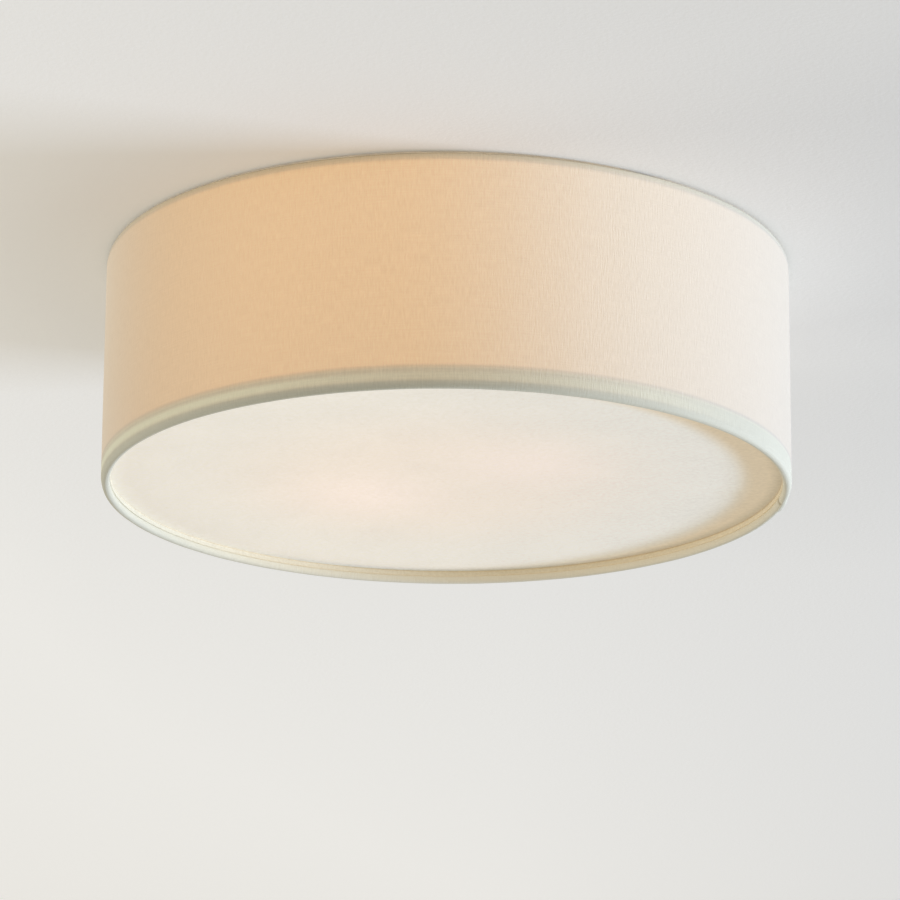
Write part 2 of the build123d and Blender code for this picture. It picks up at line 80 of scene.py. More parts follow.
# ------------------------------------------------------------------ meshes
def surface(name, points, uv=None, closed=(False, False), keep=None, values=None):
    """Object with the mesh of a grid of points, rows by columns by three, in millimetres.

    Each cell of the grid is one quad. closed joins the last row or column to the first, keep is a mask of
    cells, and values are numbers for every point, kept as attributes that the materials read.
    """
    rows, columns = points.shape[:2]
    row, column = np.meshgrid(
        np.arange(rows - (not closed[0])), np.arange(columns - (not closed[1])), indexing="ij"
    )
    if keep is not None:
        row, column = row[keep], column[keep]
    after, beside = (row + 1) % rows, (column + 1) % columns
    quads = np.stack([row * columns + column, after * columns + column, after * columns + beside,
                      row * columns + beside], axis=-1).reshape(-1, 4)
    used, corners = np.unique(quads, return_inverse=True)
    corners = corners.reshape(-1)
    mesh = bpy.data.meshes.new(name)
    flat = points.reshape(-1, 3)[used] * MM
    mesh.from_pydata(flat.tolist(), [], corners.reshape(-1, 4).tolist())
    mesh.polygons.foreach_set("use_smooth", np.ones(len(mesh.polygons), bool))
    if uv is not None:
        layer = mesh.uv_layers.new(name="cloth")
        layer.data.foreach_set("uv", uv.reshape(-1, 2)[used][corners].astype(np.float32).ravel())
    for label, numbers in (values or {}).items():
        attribute = mesh.attributes.new(label, "FLOAT", "POINT")
        attribute.data.foreach_set("value", numbers.reshape(-1)[used].astype(np.float32))
    mesh.update()
    piece = bpy.data.objects.new(name, mesh)
    bpy.context.scene.collection.objects.link(piece)
    return piece


def joined(piece, body, slot, material, *nodes):
    """Lets a new piece ride on a body in the place of CAD nodes, with its material. The slot argument is not
    used.
    """
    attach(piece, body)
    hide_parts(*nodes)
    piece.data.materials.clear()
    piece.data.materials.append(material)


def smooth_step(value, start, end):
    """0 before start, 1 after end, and a smooth S between them."""
    share = np.clip((value - start) / (end - start), 0, 1)
    return share * share * (3 - 2 * share)


# ------------------------------------------------------------------ materials
def linear(hex_colour):
    """Linear colour of an sRGB hex colour such as "#E8E4DA"."""
    channels = np.array([int(hex_colour[i:i + 2], 16) / 255 for i in (1, 3, 5)])
    light = np.where(channels <= 0.04045, channels / 12.92, ((channels + 0.055) / 1.055) ** 2.4)
    return tuple(float(value) for value in light)


def add_node(tree, kind, settings=None, sockets=None):
    """Adds a node, sets its settings, and gives each named socket a number, a colour or a link."""
    node = tree.nodes.new(kind)
    for name, value in (settings or {}).items():
        setattr(node, name, value)
    for name, value in (sockets or {}).items():
        if isinstance(value, bpy.types.NodeSocket):
            tree.links.new(value, node.inputs[name])
        else:
            node.inputs[name].default_value = value
    return node


def new_material(name, **sockets):
    """A Principled material and its node tree; sockets are named with _ for each space."""
    material = bpy.data.materials.new(name)
    material.use_nodes = True
    shader = material.node_tree.nodes["Principled BSDF"]
    for label, value in sockets.items():
        if "Color" in label:
            value = (*value, 1.0)
        shader.inputs[label.replace("_", " ")].default_value = value
    return material, material.node_tree, shader


def feed(tree, shader, socket, source):
    tree.links.new(source, shader.inputs[socket])


def blended(tree, factor, first, second):
    """Output socket of a mix between two colours."""
    first, second = [(*c, 1.0) if isinstance(c, tuple) and len(c) == 3 else c for c in (first, second)]
    mix = add_node(tree, "ShaderNodeMix", {"data_type": "RGBA"}, {0: factor, 6: first, 7: second})
    return mix.outputs[2]


def calculated(tree, operation, first, second=0.0):
    """Output socket of one sum."""
    return add_node(tree, "ShaderNodeMath", {"operation": operation}, {0: first, 1: second}).outputs[0]


def grain(tree, size, stretch=(1, 1, 1), detail=3.0, source=None):
    """Noise whose lumps are size millimetres across, longer by stretch along each axis."""
    if source is None:
        source = add_node(tree, "ShaderNodeTexCoord").outputs["Object"]
    scale = tuple(1 / (size * MM * s) for s in stretch)
    place = add_node(tree, "ShaderNodeMapping", sockets={"Vector": source, "Scale": scale})
    noise = add_node(tree, "ShaderNodeTexNoise", sockets={
        "Vector": place.outputs["Vector"], "Scale": 1.0, "Detail": detail, "Roughness": 0.55})
    return noise.outputs["Fac"]


def roughened(tree, shader, pattern, low, high):
    """Roughness between two values, led by a pattern."""
    spread = add_node(tree, "ShaderNodeMapRange", sockets={
        "Value": pattern, "From Min": 0.3, "From Max": 0.7, "To Min": low, "To Max": high})
    feed(tree, shader, "Roughness", spread.outputs["Result"])


def raised(tree, shader, height, depth, strength=1.0):
    """Bump of a real depth in millimetres."""
    bump = add_node(tree, "ShaderNodeBump", sockets={
        "Height": height, "Distance": depth * MM, "Strength": strength})
    feed(tree, shader, "Normal", bump.outputs["Normal"])


def toward(tree, direction, start, end, low=0.0, high=1.0):
    """Number that rises from low to high as the place goes from start to end along a direction."""
    place = add_node(tree, "ShaderNodeTexCoord").outputs["Object"]
    along = add_node(tree, "ShaderNodeVectorMath", {"operation": "DOT_PRODUCT"}, {
        0: place, 1: direction}).outputs["Value"]
    return add_node(tree, "ShaderNodeMapRange", {"interpolation_type": "SMOOTHSTEP"}, {
        "Value": along, "From Min": start, "From Max": end, "To Min": low, "To Max": high}).outputs["Result"]


def plain_finish(name, light, dark, roughness, size, stretch=(1, 1, 1), depth=0.02, **sockets):
    """A finish of two near tones with one grain for its colour, roughness and bump."""
    material, tree, shader = new_material(name, **sockets)
    pattern = grain(tree, size, stretch)
    share = add_node(tree, "ShaderNodeMapRange", sockets={
        "Value": pattern, "From Min": 0.35, "From Max": 0.65})
    feed(tree, shader, "Base Color", blended(tree, share.outputs["Result"], linear(light), linear(dark)))
    roughened(tree, shader, pattern, *roughness)
    raised(tree, shader, pattern, depth)
    return material


def finish_node(material, *nodes):
    """Gives CAD nodes a material through their objects' own slots."""
    for name in nodes:
        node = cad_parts[name]
        if not node.data.materials:
            node.data.materials.append(None)
        for slot in node.material_slots:
            slot.link = "OBJECT"
            slot.material = material


# ------------------------------------------------------------------ settings
def length(name, description, default):
    return FloatProperty(name=name, description=description, default=default * MM, unit="LENGTH",
                         subtype="DISTANCE", min=0.0)


def colour(name, description, default):
    return FloatVectorProperty(name=name, description=description, default=linear(default), size=3,
                               subtype="COLOR", min=0.0, max=1.0)


class CeilingLightSizes(bpy.types.PropertyGroup):
    """Sizes of the pieces made here."""
    lap: length("Lap", "How far the linen's end lies over its start", 12.0)
    crease: length("Crease", "Height over the lower wire's centre where the linen starts to lean in", 1.25)
    seam_angle: FloatProperty(name="Seam", description="Where the linen's lap seam is, from +X",
                              default=radians(38.8), subtype="ANGLE")
    hem: length("Hem", "Height of the linen that lies double, at the lower rim", 12.3)
    top_hem: length("Top hem", "Height of the linen that lies double, at the upper rim", 3.9)
    slub: length("Slub", "Width of the linen's drawn slubs", 0.9)
    thread: length("Thread", "Spacing of the linen's drawn threads", 0.95)


class CeilingLightColours(bpy.types.PropertyGroup):
    """Colours of the main pieces."""
    linen: colour("Linen", "Linen where it lies double, at the hems", "#DEDAC6")
    wall: colour("Wall", "Linen on its lining, with the daylight it passes taken off", "#C4C1B6")
    wall_glow: colour("Wall glow", "Lamp light that comes through the wall", "#BC8E57")
    end_glow: colour("End glow", "The same beside the lampholders, where it is paler", "#BCA58B")
    diffuser: colour("Diffuser", "Frosted acrylic, faintly blue as cloudy plastics are", "#DAE2E2")
    diffuser_glow: colour("Diffuser glow", "Lamp light that comes through the diffuser's middle", "#AB8A62")
    rim_glow: colour("Rim glow", "The same near the diffuser's rim, where it is paler", "#A38D6F")
    ceiling: colour("Ceiling", "Matt ceiling paint", "#E6E4DF")


class CeilingLightStudio(bpy.types.PropertyGroup):
    """Lights of the studio."""
    window_power: FloatProperty(name="Window", description="Power of the large soft light at the right",
                                default=205.0, unit="POWER", min=0.0)
    window_colour: colour("Window colour", "Colour of the large soft light", "#D3E3FF")
    room: colour("Room", "Light that comes from all round", "#AEACA6")
    haze: colour("Haze", "Light the ceiling shows the camera on top of what falls on it", "#726F6A")
    far_power: FloatProperty(name="Far window", description="Power of the weak soft light at the left",
                             default=45.0, unit="POWER", min=0.0)
    top_power: FloatProperty(name="Top", description="Power of the light above the ceiling's opening",
                             default=3.0, unit="POWER", min=0.0)


# ------------------------------------------------------------------ stage
CAMERA_AZIMUTH = radians(32.6)
ACROSS = Vector((cos(CAMERA_AZIMUTH), sin(CAMERA_AZIMUTH), 0))
AHEAD = Vector((-sin(CAMERA_AZIMUTH), cos(CAMERA_AZIMUTH), 0))
UP = Vector((0, 0, 1))


def aimed(location, forward, upward=UP):
    """Matrix of a camera or a lamp that looks along forward."""
    forward = forward.normalized()
    side = forward.cross(upward).normalized()
    rotation = Matrix((side, side.cross(forward), -forward)).transposed()
    return Matrix.Translation(location) @ rotation.to_4x4()


def make_camera():
    data = bpy.data.cameras.new("camera")
    data.lens, data.sensor_width = 196.68, 36.0
    camera = bpy.data.objects.new("camera", data)
    bpy.context.scene.collection.objects.link(camera)
    tilt, turn, roll = radians(17.093), radians(0.042), radians(0.366)
    ahead = cos(turn) * AHEAD + sin(turn) * ACROSS
    location = -2.7343 * AHEAD + Vector((0, 0, -0.9519))
    rolled = Matrix.Rotation(roll, 4, "Z")
    camera.matrix_world = aimed(location, cos(tilt) * ahead + sin(tilt) * UP) @ rolled
    bpy.context.scene.camera = camera


def area_lamp(name, centre, distance, forward, size, power, tint):
    data = bpy.data.lights.new(name, "AREA")
    data.shape, data.energy, data.color = "RECTANGLE", power, tint
    data.size, data.size_y = size
    lamp = bpy.data.objects.new(name, data)
    bpy.context.scene.collection.objects.link(lamp)
    lamp.matrix_world = aimed(centre - distance * forward.normalized(), forward, Vector((0.01, 0, 1)))


def ceiling_paint(colours, haze):
    """Matt emulsion on plaster: pale and faintly stippled.

    To the camera, and in metal and glass, it shows a painted haze of light on top. The haze is stronger away
    from the window, as a room's far side looks in a bright exposure, and weaker in the light fitting's own
    shade, which is painted shade. From above it is clear.
    """
    material, tree, shader = new_material("matt_ceiling_paint", Roughness=0.9)
    stipple = grain(tree, 3.0)
    pale = tuple(colours.ceiling)
    feed(tree, shader, "Base Color", blended(tree, stipple, tuple(0.98 * c for c in pale), pale))
    raised(tree, shader, stipple, 0.15)
    place = add_node(tree, "ShaderNodeTexCoord").outputs["Object"]
    turned = add_node(tree, "ShaderNodeMapping", sockets={
        "Vector": place, "Rotation": (0, 0, -CAMERA_AZIMUTH)}).outputs["Vector"]
    axes = add_node(tree, "ShaderNodeSeparateXYZ", sockets={0: turned})
    across = axes.outputs["X"]
    reach = add_node(tree, "ShaderNodeVectorMath", {"operation": "LENGTH"}, {0: place}).outputs["Value"]
    from_wall = calculated(tree, "DIVIDE", calculated(tree, "SUBTRACT", reach, SHADE_RADIUS * MM), 0.08)
    # Painted shade: less haze near the shade's wall, on the side away from the window.
    near = calculated(tree, "EXPONENT", calculated(tree, "MULTIPLY", calculated(
        tree, "MULTIPLY", from_wall, from_wall), -1.0))
    left = add_node(tree, "ShaderNodeMapRange", sockets={
        "Value": across, "From Min": 0.2, "From Max": -0.2, "To Min": 0.0, "To Max": 0.45}).outputs["Result"]
    share = calculated(tree, "ADD", 0.9, calculated(tree, "MULTIPLY", reach, 0.35))
    share = calculated(tree, "SUBTRACT", share, calculated(tree, "MULTIPLY", across, 1.6))
    share = calculated(tree, "SUBTRACT", share, calculated(tree, "MULTIPLY", near, left))
    beyond = add_node(tree, "ShaderNodeMapRange", sockets={
        "Value": axes.outputs["Y"], "From Min": 0.2, "From Max": 0.65, "To Max": 0.33}).outputs["Result"]
    right = add_node(tree, "ShaderNodeMapRange", sockets={
        "Value": across, "From Min": -0.25, "From Max": 0.05, "To Min": 0.3}).outputs["Result"]
    share = calculated(tree, "ADD", share, calculated(tree, "MULTIPLY", beyond, right))
    share = add_node(tree, "ShaderNodeClamp", sockets={"Value": share, "Min": 0.2, "Max": 1.8}).outputs[0]
    path = add_node(tree, "ShaderNodeLightPath")
    seen = path.outputs["Is Camera Ray"]
    for other in ("Is Glossy Ray", "Is Transmission Ray"):
        seen = calculated(tree, "MAXIMUM", seen, path.outputs[other])
    feed(tree, shader, "Emission Strength", calculated(tree, "MULTIPLY", share, seen))
    shader.inputs["Emission Color"].default_value = (*haze, 1.0)
    back = add_node(tree, "ShaderNodeNewGeometry").outputs["Backfacing"]
    clear = add_node(tree, "ShaderNodeBsdfTransparent")
    mixed = add_node(tree, "ShaderNodeMixShader", sockets={
        0: back, 1: shader.outputs[0], 2: clear.outputs[0]})
    tree.links.new(mixed.outputs[0], tree.nodes["Material Output"].inputs["Surface"])
    return material


class CEILING_LIGHT_OT_stage(bpy.types.Operator):
    """Makes the ceiling, the room's light and the camera"""
    bl_idname = "ceiling_light.stage"
    bl_label = "Ceiling, lights and camera"

    def execute(self, context):
        scene = context.scene
        scene.view_settings.view_transform = "Standard"
        studio, colours = scene.ceiling_light_studio, scene.ceiling_light_colours
        make_camera()
        # Flat ring round the outlet: radius by angle, so that its hole stays hidden above the shade.
        radius, angle = np.meshgrid([190.0, 230.0, 320.0, 600.0, 1500.0, 7000.0],
                                    np.linspace(0, tau, 96, endpoint=False), indexing="ij")
        points = np.stack([radius * np.cos(angle), radius * np.sin(angle), 0 * radius], axis=-1)
        ceiling = surface("ceiling", points[:, ::-1], closed=(False, True))
        ceiling.data.materials.append(ceiling_paint(colours, tuple(studio.haze)))
        centre = Vector((0, 0, -0.07))
        sideways = cos(radians(5)) * ACROSS + sin(radians(5)) * AHEAD
        low = radians(15)
        area_lamp("window", centre, 4.5, -cos(low) * sideways + sin(low) * UP, (1.8, 0.6),
                  studio.window_power, tuple(studio.window_colour))
        area_lamp("far_window", centre, 4.5, ACROSS - 0.4 * AHEAD + 0.3 * UP, (1.8, 1.8),
                  studio.far_power, (1.0, 1.0, 0.95))
        area_lamp("top_light", Vector((0, 0, 0)), 0.9, -UP + 0.25 * ACROSS, (0.3, 0.3),
                  studio.top_power, (1.0, 1.0, 1.0))
        world = bpy.data.worlds.new("room")
        scene.world = world
        world.use_nodes = True
        tree = world.node_tree
        tree.nodes.clear()
        path = add_node(tree, "ShaderNodeLightPath")
        seen = path.outputs["Is Camera Ray"]
        for other in ("Is Glossy Ray", "Is Transmission Ray"):
            seen = calculated(tree, "MAXIMUM", seen, path.outputs[other])
        room, pale = (add_node(tree, "ShaderNodeBackground", sockets={"Color": (*shade, 1.0)})
                      for shade in (studio.room, colours.ceiling))
        mixed = add_node(tree, "ShaderNodeMixShader", sockets={
            0: seen, 1: room.outputs[0], 2: pale.outputs[0]})
        add_node(tree, "ShaderNodeOutputWorld", sockets={"Surface": mixed.outputs[0]})
        return {"FINISHED"}


# ------------------------------------------------------------------ shade
def hem_profile(sizes):
    """Middle line of the linen as (radius, height) with the direction that faces away from the wires.

    It starts at the upper hem's hidden end, goes over the upper wire, down the wall, leans in at the crease,
    goes under the lower wire, up past it and out to the lower hem's hidden end. The two arcs about the wires
    take in 200 degrees, and the wall meets them along their tangents.
    """
    tucked = SHADE_RADIUS - LINEN - 0.05 - 0.8 - 0.05 - LINEN / 2
    wall = SHADE_RADIUS - LINEN / 2
    crease = sizes.crease / MM

    def inner(centre_z, way, steps, out):
        inside = RING_RADIUS - ROLL
        return inside + (tucked - inside) * np.array(out), centre_z + way * np.array(steps)

    turn = np.linspace(radians(180), radians(20), 17)
    over = RING_RADIUS + ROLL * np.cos(turn), UPPER_RING_Z + ROLL * np.sin(turn)
    under = RING_RADIUS + ROLL * np.cos(turn[::-1]), LOWER_RING_Z - ROLL * np.sin(turn[::-1])
    high, low = UPPER_RING_Z - crease, LOWER_RING_Z + crease
    height = np.concatenate([[high, high - 0.35], np.linspace(high - 1.5, -12, 8), np.linspace(-15, -114, 30),
                             np.linspace(-116, low + 1.5, 22), [low + 0.35, low]])
    upper = inner(UPPER_RING_Z, -1, [5.5, 4.9, 4.3, 3.2, 2.1, 1.0, 0.5], [1, 1, 1, 0.66, 0.33, 0, 0])
    lower = inner(LOWER_RING_Z, 1, [10.5, 7.4, 4.6, 4.1, 3.3, 2.5, 1.9, 1.72, 1.66, 1.45, 1.0, 0.4],
                  [1, 1, 1, 0.96, 0.76, 0.55, 0.36, 0.26, 0.06, 0, 0, 0])
    radius = np.concatenate([upper[0], over[0], 0 * height + wall, under[0], lower[0][::-1]])
    height = np.concatenate([upper[1], over[1], height, under[1], lower[1][::-1]])
    along = np.stack([np.gradient(radius), np.gradient(height)])
    along /= np.hypot(*along)
    return radius, height, -along[1], along[0]


def shade_cloth(sizes):
    """Linen sheet wrapped once round the drum with its end lapped over its start.

    Rows go round: angle = seam + distance / shade radius. Columns follow the hem's profile. A point is the
    profile's point, pushed outward by the lap (0.62 mm, rising over the last 8 mm before the start is met
    again) and by slow waves of at most 0.1 mm. Cells are left out where the shade's arms pass through.
    """
    radius, height, out_r, out_z = hem_profile(sizes)
    round_length = tau * SHADE_RADIUS
    lap = sizes.lap / MM
    distance = np.linspace(0, round_length + lap, 352)
    half_slit = 7.3 / RING_RADIUS
    seam = sizes.seam_angle
    for arm in ARM_ANGLES:
        for side in (-1, 1):
            wanted = (radians(arm) + side * half_slit - seam) % tau * SHADE_RADIUS
            distance[np.argmin(np.abs(distance - wanted))] = wanted
    run = np.concatenate([[0], np.cumsum(np.hypot(np.diff(radius), np.diff(height)))])
    angle = seam + distance / SHADE_RADIUS
    around, down = np.meshgrid(distance, run, indexing="ij")
    lifted = 0.62 * smooth_step(around, round_length - 8, round_length)
    hidden = (height < -100) & (radius < RING_RADIUS - 0.4 * ROLL)
    lifted = lifted * np.where(hidden, 0.0, 1.0)[None, :]
    rng = np.random.default_rng(11)
    wave = np.zeros_like(around)
    for order in range(1, 9):
        turns, phase, slant = rng.integers(3, 40), rng.uniform(0, tau), rng.uniform(-0.03, 0.03)
        wave += np.sin(turns * around / SHADE_RADIUS + slant * down + phase)
    wave = 0.05 + 0.012 * wave
    push = lifted + np.clip(wave, 0, 0.1)
    r = radius[None, :] + push * out_r[None, :]
    z = height[None, :] + push * out_z[None, :]
    points = np.stack([r * np.cos(angle)[:, None], r * np.sin(angle)[:, None], z], axis=-1)
    middle_angle = ((angle[:-1] + angle[1:]) / 2)[:, None]
    middle_r, middle_z = ((row[:-1] + row[1:]) / 2 for row in (radius, height))
    keep = np.ones((len(distance) - 1, len(radius) - 1), bool)
    slit = (middle_r < 196.3) & (middle_z < -2.0) & (middle_z > -6.1)
    for arm in ARM_ANGLES:
        off = (middle_angle - radians(arm) + pi) % tau - pi
        keep &= ~((np.abs(off) < half_slit) & slit[None, :])
    behind = (middle_z < -100) & (middle_r < RING_RADIUS - 0.4 * ROLL)
    lapped = (distance[1:] > round_length + 0.1)[:, None]
    keep &= ~(lapped & behind[None, :])
    glow, pale, strip, thread_tone_and_raking_shade = wall_glow(points, sizes)
    double = band_mask(points[..., 2], sizes)
    uv = np.stack([around, down], axis=-1) * MM
    piece = surface("shade_cloth", points[:, ::-1], uv[:, ::-1], keep=keep[:, ::-1],
                    values={"glow": glow[:, ::-1], "pale": pale[:, ::-1], "strip": strip[:, ::-1],
                            "thread_tone_and_raking_shade": thread_tone_and_raking_shade[:, ::-1], "double": double[:, ::-1]})
    thick = piece.modifiers.new("thickness", "SOLIDIFY")
    thick.thickness, thick.offset = LINEN * MM, 0.0
    return piece, run[-1]


def wall_glow(points, sizes):
    """Numbers for each point of the wall: the lamps' light, how pale it is, the strip's light and the relief.

    All of it is painted light, since the linen passes no light here. The lamps lie along X, so the wall
    between them and the camera is brightest and warmest. It falls off either way round from there, rises a
    little again at the back, and falls off towards both rims too; little of it passes the hems. The strip is
    where the lining has ended above the lower wire, and a neutral light of the room is painted on the linen
    there. The last number is how much the threads show in the colour: their own tone, with a painted shade
    that is strongest where the window's light rakes over them.
    """
    x, y, z = (points[..., axis] for axis in range(3))
    turned = (np.degrees(np.arctan2(y, x)) - 273 + 180) % 360 - 180
    away = (z - LAMP_Z) / 65
    share = 1 + 0.05 * away - 0.03 * away**2
    share *= 1 - 0.33 * smooth_step(-turned, -6, 42) * (1 - 0.34 * smooth_step(-turned, 120, 180))
    share *= 1 - 0.54 * smooth_step(turned, 27, 117) * (1 - 0.6 * smooth_step(turned, 120, 180))
    pale = np.clip(smooth_step(np.abs(turned), 18, 66) + 0.06 * away, 0, 1)
    low, high = RIM_Z + sizes.hem / MM, TOP_Z - sizes.top_hem / MM
    passed = smooth_step(z, low - 2.1, low + 2.1) * (1 - smooth_step(z, high - 1.9, high + 1.9))
    front_share = (1 - smooth_step(turned, 60, 92)) * (1 - smooth_step(-turned, 130, 180))
    hem_share = 0.31 * front_share
    passed = hem_share * smooth_step(z, RIM_Z + 2.6, RIM_Z + 5.0) * (1 - passed) + passed
    reach = np.hypot(x, y)
    below = z < RIM_Z + 5
    # Painted light from the diffuser on the lower roll's inner face, on the far side.
    far = smooth_step(y - 0.09 * x, -20, 120)
    from_diffuser = 0.42 * smooth_step(RING_RADIUS - reach, -0.5, 1.5) * below * far
    outside = (reach > SHADE_RADIUS - 1.2) | (below & (reach > RING_RADIUS))
    strip = smooth_step(z, RIM_Z + 3.2, RIM_Z + 6.2) * (1 - smooth_step(z, RIM_Z + 7.6, RIM_Z + 10.2))
    strip = strip * outside * (1 - 0.65 * smooth_step(turned, -8, 30)) * front_share
    # How much the threads show in the colour: their own tone, with a painted shade that is strongest where
    # the window's light rakes over them.
    thread_tone_and_raking_shade = 0.028 + 0.042 * np.exp(-((turned - 22) / 34)**2)
    return share * np.where(outside, passed, from_diffuser), pale, strip, thread_tone_and_raking_shade


def band_mask(z, sizes):
    """1 where the linen lies double, at the hems, and 0 on the single wall."""
    low, high = RIM_Z + sizes.hem / MM, TOP_Z - sizes.top_hem / MM
    return 1 - smooth_step(z, low - 1.2, low + 0.2) * (1 - smooth_step(z, high - 0.2, high + 1.0))


def linen_material(colours, sizes):
    """Plain woven linen, stiffened with a lining: matt, with long uneven slubs both ways and a faint fuzz.

    Real threads lie about 0.5 mm apart, too fine to show, so they are drawn at twice that, and the
    slubs about twice as wide as they are.
    """
    material, tree, shader = new_material("woven_linen", Roughness=0.86, IOR=1.46, Sheen_Weight=0.12,
                                          Sheen_Roughness=0.45, Emission_Strength=1.0)
    shader.inputs["Specular IOR Level"].default_value = 0.25
    cloth = add_node(tree, "ShaderNodeUVMap", {"uv_map": "cloth"}).outputs["UV"]
    slub = sizes.slub / MM
    warp = grain(tree, slub, (1, 7, 1), 2.0, cloth)
    weft = grain(tree, slub, (22, 0.8, 1), 2.0, cloth)
    axes = add_node(tree, "ShaderNodeSeparateXYZ", sockets={0: cloth})
    beat = tau / sizes.thread
    across = calculated(tree, "SINE", calculated(tree, "MULTIPLY", axes.outputs["X"], beat))
    along = calculated(tree, "SINE", calculated(tree, "MULTIPLY", axes.outputs["Y"], beat))
    weave = calculated(tree, "MULTIPLY", across, along)
    slubs = calculated(tree, "ADD", calculated(tree, "MULTIPLY", warp, 0.65),
                       calculated(tree, "MULTIPLY", weft, 0.35))
    height = calculated(tree, "ADD", slubs, calculated(tree, "MULTIPLY", weave, 0.04))
    raised(tree, shader, height, 0.42)
    # The threads' tone scales the colour and the painted glow; its strength at each point carries a painted
    # shade, strongest where the window's light rakes.
    thin = add_node(tree, "ShaderNodeMapRange", sockets={
        "Value": height, "From Min": 0.32, "From Max": 0.68, "To Min": 1.0, "To Max": -1.0}).outputs["Result"]
    thread_tone_and_raking_shade = add_node(tree, "ShaderNodeAttribute", {"attribute_name": "thread_tone_and_raking_shade"}).outputs["Fac"]
    tone = calculated(tree, "ADD", 1.0, calculated(tree, "MULTIPLY", thin, thread_tone_and_raking_shade))
    double = add_node(tree, "ShaderNodeAttribute", {"attribute_name": "double"}).outputs["Fac"]
    glow = add_node(tree, "ShaderNodeAttribute", {"attribute_name": "glow"}).outputs["Fac"]
    base = blended(tree, double, tuple(colours.wall), tuple(colours.linen))
    shaded = add_node(tree, "ShaderNodeVectorMath", {"operation": "SCALE"}, {0: base, "Scale": tone})
    feed(tree, shader, "Base Color", shaded.outputs[0])
    pale = add_node(tree, "ShaderNodeAttribute", {"attribute_name": "pale"}).outputs["Fac"]
    strip = add_node(tree, "ShaderNodeAttribute", {"attribute_name": "strip"}).outputs["Fac"]
    # The lamps' light through the wall and the strip's neutral light are painted on as emission.
    lit = blended(tree, pale, tuple(colours.wall_glow), tuple(colours.end_glow))
    passed = add_node(tree, "ShaderNodeVectorMath", {"operation": "SCALE"}, {
        0: lit, "Scale": calculated(tree, "MULTIPLY", glow, tone)})
    neutral = add_node(tree, "ShaderNodeVectorMath", {"operation": "SCALE"}, {
        0: STRIP_LIGHT, "Scale": calculated(tree, "MULTIPLY", strip, tone)})
    both = add_node(tree, "ShaderNodeVectorMath", {"operation": "ADD"}, {
        0: passed.outputs[0], 1: neutral.outputs[0]})
    feed(tree, shader, "Emission Color", both.outputs[0])
    return material


def lining_material(colours):
    """Moulded styrene sheet behind the linen: white, satin, lit warm by the lamps inside."""
    material, tree, shader = new_material("styrene_sheet", Roughness=0.45, IOR=1.59, Emission_Strength=1.0)
    pattern = grain(tree, 6.0)
    feed(tree, shader, "Base Color", blended(tree, pattern, linear("#EFE9DC"), linear("#E6DFD0")))
    place = add_node(tree, "ShaderNodeTexCoord").outputs["Object"]
    axes = add_node(tree, "ShaderNodeSeparateXYZ", sockets={0: place})
    level = calculated(tree, "MULTIPLY", calculated(tree, "SUBTRACT", axes.outputs["Z"], LAMP_Z * MM), 11.0)
    fall = calculated(tree, "SUBTRACT", 1.0, calculated(tree, "MULTIPLY", level, level))
    # Painted light: the lamps' warm glow on the lining, as emission, dimmer near both rims.
    feed(tree, shader, "Emission Color",
         blended(tree, fall, LINING_EDGE_GLOW, tuple(0.6 * c for c in colours.wall_glow)))
    raised(tree, shader, pattern, 0.02)
    return material


class CEILING_LIGHT_OT_shade(bpy.types.Operator):
    """Makes the linen of the shade and finishes its lining, wires, arms and ledge"""
    bl_idname = "ceiling_light.shade"
    bl_label = "Shade"

    def execute(self, context):
        sizes, colours = context.scene.ceiling_light_sizes, context.scene.ceiling_light_colours
        cloth, cut_width = shade_cloth(sizes)
        joined(cloth, "shade", "linen_cloth", linen_material(colours, sizes), "shade_fabric")
        finish_node(lining_material(colours), "shade_liner")
        # White lacquer on drawn steel wire and strip: smooth, half gloss, with a faint orange peel.
        lacquer = plain_finish("white_lacquer", "#E9E7E0", "#E2E0D8", (0.32, 0.42), 1.6, depth=0.02,
                               IOR=1.5, Coat_Weight=0.2, Coat_Roughness=0.25)
        finish_node(lacquer, "upper_wire_ring", "lower_wire_ring", "shade_arms")
        # The same lacquer on the ledge, cream beside the cloth, with the lamps' warm light painted on as
        # emission on its far side.
        ledge = plain_finish("cream_lacquer", "#E6E0CA", "#DED7C0", (0.4, 0.5), 1.6, depth=0.02, IOR=1.5,
                             Emission_Color=LEDGE_GLOW)
        tree = ledge.node_tree
        far = toward(tree, (-0.09, 1.0, 0.0), -0.02, 0.12)
        feed(tree, tree.nodes["Principled BSDF"], "Emission Strength", far)
        finish_node(ledge, "diffuser_ledge")
        return {"FINISHED"}


